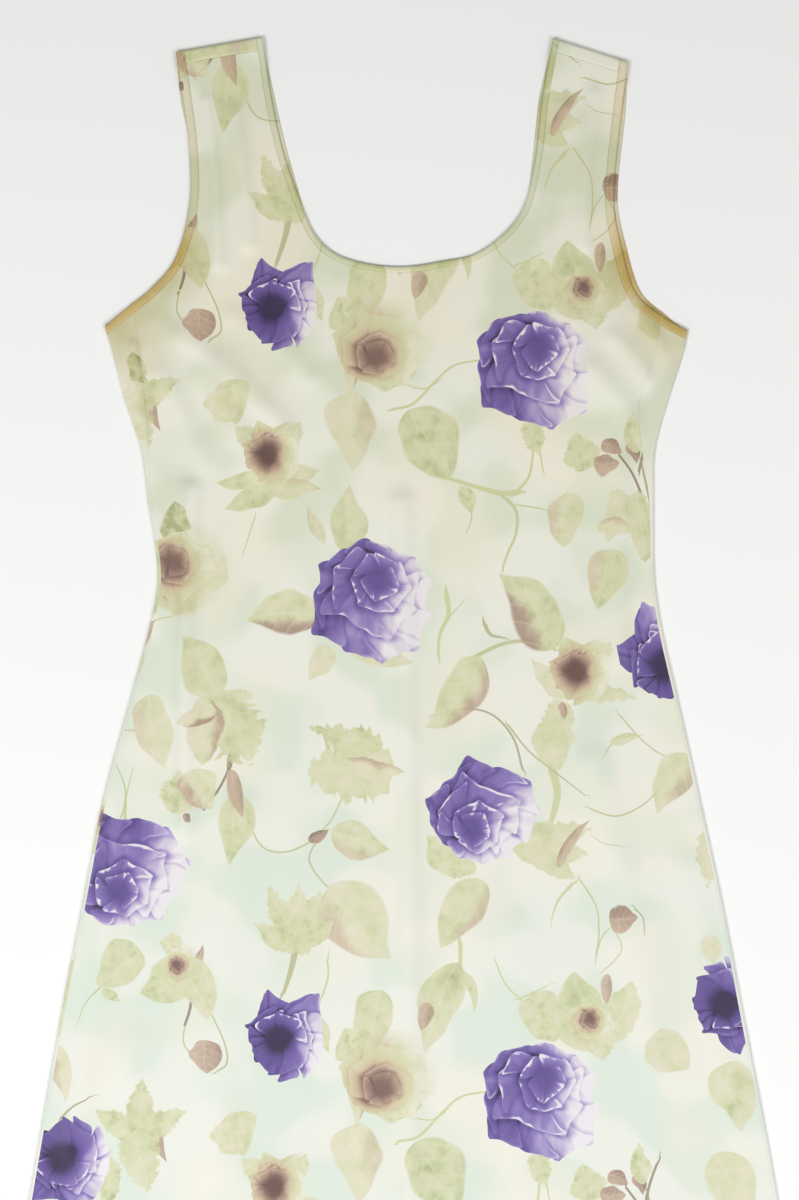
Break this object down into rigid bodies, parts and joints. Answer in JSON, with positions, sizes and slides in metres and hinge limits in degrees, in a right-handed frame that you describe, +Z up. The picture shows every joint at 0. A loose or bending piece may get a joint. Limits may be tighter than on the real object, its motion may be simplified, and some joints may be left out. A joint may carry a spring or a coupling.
{
  "type": "sundress laid flat",
  "caption": "Sleeveless scoop-neck A-line sundress with wide straps and banded neck and armholes, laid flat on its back.",
  "frame": {"origin": "middle of the dress's length and width, on the surface it lies on", "axes": "+X across the dress to the viewer's right, +Y from the hem to the shoulders, +Z up out of the front of the dress as it lies on its back"},
  "size_m": [0.6772, 1.22, 0.0049],
  "materials": {
    "floral_cloth": "smooth, slightly satiny printed crepe",
    "neck_trim": "the same cloth, folded into a narrow band",
    "armhole_trim": "the same cloth, folded into a narrow band and yellowed near the underarm"
  },
  "bodies": {
    "root": {"front_panel": "floral_cloth", "back_panel": "floral_cloth", "neck_band": "neck_trim", "armhole_band_left": "armhole_trim", "armhole_band_right": "armhole_trim"}
  },
  "joints": []
}
